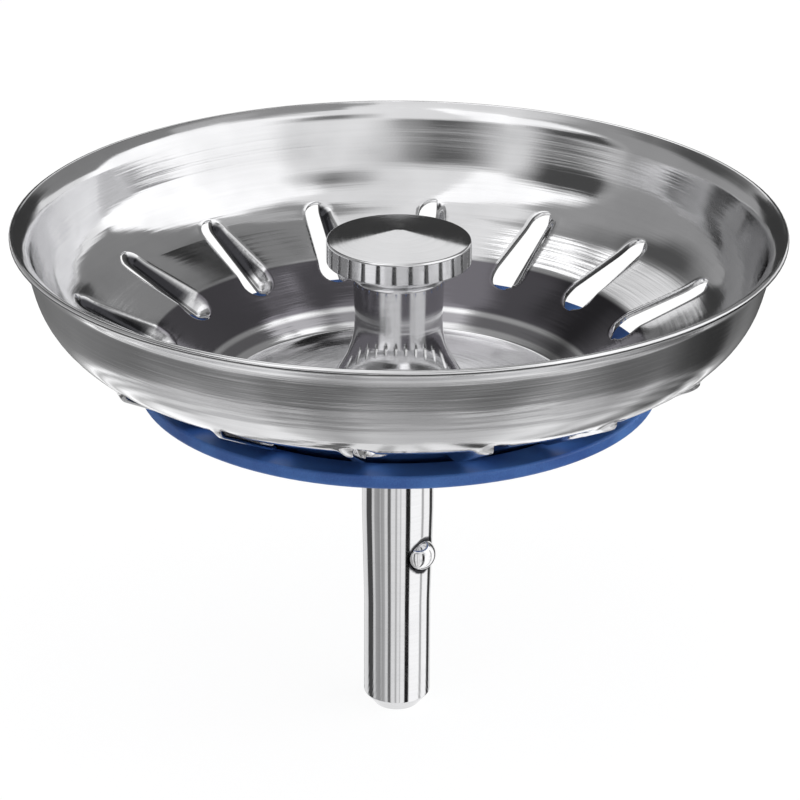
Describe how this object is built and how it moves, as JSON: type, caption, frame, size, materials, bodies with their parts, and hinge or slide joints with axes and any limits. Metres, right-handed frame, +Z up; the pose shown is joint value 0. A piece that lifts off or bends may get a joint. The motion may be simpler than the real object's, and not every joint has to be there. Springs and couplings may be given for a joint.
{
  "type": "sink strainer basket",
  "caption": "Steel sink strainer basket with louvred slots, a turned lifting knob, a blue rubber seal and a guide pin with a sprung ball",
  "frame": {"origin": "on the axis, at the lower end of the guide pin's straight wall", "axes": "+Z runs up the axis to the knob; +X points out through the ball's mouth"},
  "size_m": [0.08, 0.08, 0.0554],
  "materials": {
    "pressed_steel": "polished, with a faint satin haze",
    "turned_steel": "turned and polished",
    "blue_rubber": "matt",
    "ball_steel": "mirror",
    "spring_steel": "drawn wire"
  },
  "bodies": {
    "strainer": {"strainer_basket": "pressed_steel", "knob": "turned_steel", "seal_ring": "blue_rubber", "seal_plate": "pressed_steel", "guide_pin": "turned_steel", "catch_spring": "spring_steel"},
    "ball": {"catch_ball": "ball_steel"}
  },
  "joints": [
    {"name": "ball_press", "type": "slide", "parent": "strainer", "child": "ball", "axis": [-1, 0, 0], "range_m": [0, 0.0011], "stiffness_N_per_m": 400, "springref_m": -0.0006, "deforming": ["catch_spring"]}
  ]
}
